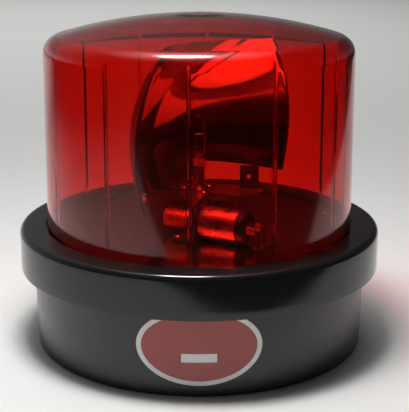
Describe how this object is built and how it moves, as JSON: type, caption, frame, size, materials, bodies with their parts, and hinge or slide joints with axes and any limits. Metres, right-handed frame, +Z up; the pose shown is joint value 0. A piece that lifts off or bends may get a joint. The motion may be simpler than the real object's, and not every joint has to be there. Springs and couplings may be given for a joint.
{
  "type": "rotating beacon light",
  "caption": "Round warning beacon: red domed lens on a black base, with a mirrored bowl that turns round a fixed lamp on a worm drive.",
  "frame": {"origin": "centre of the base's underside, on the axis of the dome", "axes": "+Z up along the lamp post and dome axis, -Y towards the name plate"},
  "size_m": [0.24, 0.24, 0.217],
  "materials": {
    "housing_black": "satin",
    "ring_gloss": "gloss",
    "red_lens": "clear red gloss",
    "plate_maroon": "satin print",
    "deck_dark": "semi-gloss",
    "mirror": "polished",
    "plated_steel": "plated",
    "motor_steel": "satin",
    "bracket_dark": "satin",
    "brass": "machined",
    "bronze": "sintered",
    "copper": "bare",
    "black_rubber": "matt",
    "cream_plastic": "matt",
    "motor_plastic": "satin",
    "lead_red": "pvc",
    "ceramic": "matt",
    "clear_glass": "clear",
    "filament": "drawn",
    "ferrite": "matt",
    "carbon": "matt"
  },
  "bodies": {
    "base": {"base_housing": "housing_black", "bottom_cover": "housing_black", "bottom_cover_screws": "plated_steel", "cable_grommet": "black_rubber", "name_plate": "plate_maroon", "deck_plate": "deck_dark", "deck_screws": "plated_steel", "deck_grommet": "black_rubber", "terminal_block": "cream_plastic", "terminal_screws": "brass", "internal_leads": "lead_red", "lamp_post": "plated_steel", "post_nut": "plated_steel", "lamp_socket": "brass", "lamp_base": "ceramic", "lamp_glass": "clear_glass", "lamp_filament": "filament", "post_collar": "plated_steel", "thrust_washer": "bronze", "motor_bracket": "bracket_dark", "bracket_screws": "plated_steel", "motor_can": "motor_steel", "motor_end_cap": "motor_plastic", "motor_terminals": "brass", "motor_magnets": "ferrite", "front_bearing": "bronze", "rear_bearing": "bronze", "motor_brushes": "carbon", "dome_gasket": "black_rubber", "ring_screws": "plated_steel"},
    "cover": {"dome": "red_lens", "retaining_ring": "ring_gloss"},
    "rotor": {"wheel_hub": "brass", "worm_wheel": "brass", "carrier_plate": "bracket_dark", "carrier_screws": "plated_steel", "reflector": "mirror", "reflector_bracket": "bracket_dark", "reflector_nuts": "plated_steel", "bracket_rivets": "plated_steel"},
    "motor_rotor": {"motor_shaft": "motor_steel", "worm": "brass", "armature_core": "motor_steel", "armature_windings": "copper", "commutator": "copper"}
  },
  "joints": [
    {"name": "cover_lift", "type": "slide", "parent": "base", "child": "cover", "axis": [0, 0, 1], "range_m": [0, 0.16]},
    {"name": "reflector_spin", "type": "hinge", "parent": "base", "child": "rotor", "pos_m": [0, 0, 0.09], "axis": [0, 0, 1], "continuous": true},
    {"name": "worm_spin", "type": "hinge", "parent": "base", "child": "motor_rotor", "pos_m": [-0.01451, -0.02728, 0.0882], "axis": [0.8829, -0.4695, 0], "continuous": true}
  ],
  "couplings": [
    {"joint": "worm_spin", "follows": "reflector_spin", "ratio": -84}
  ]
}
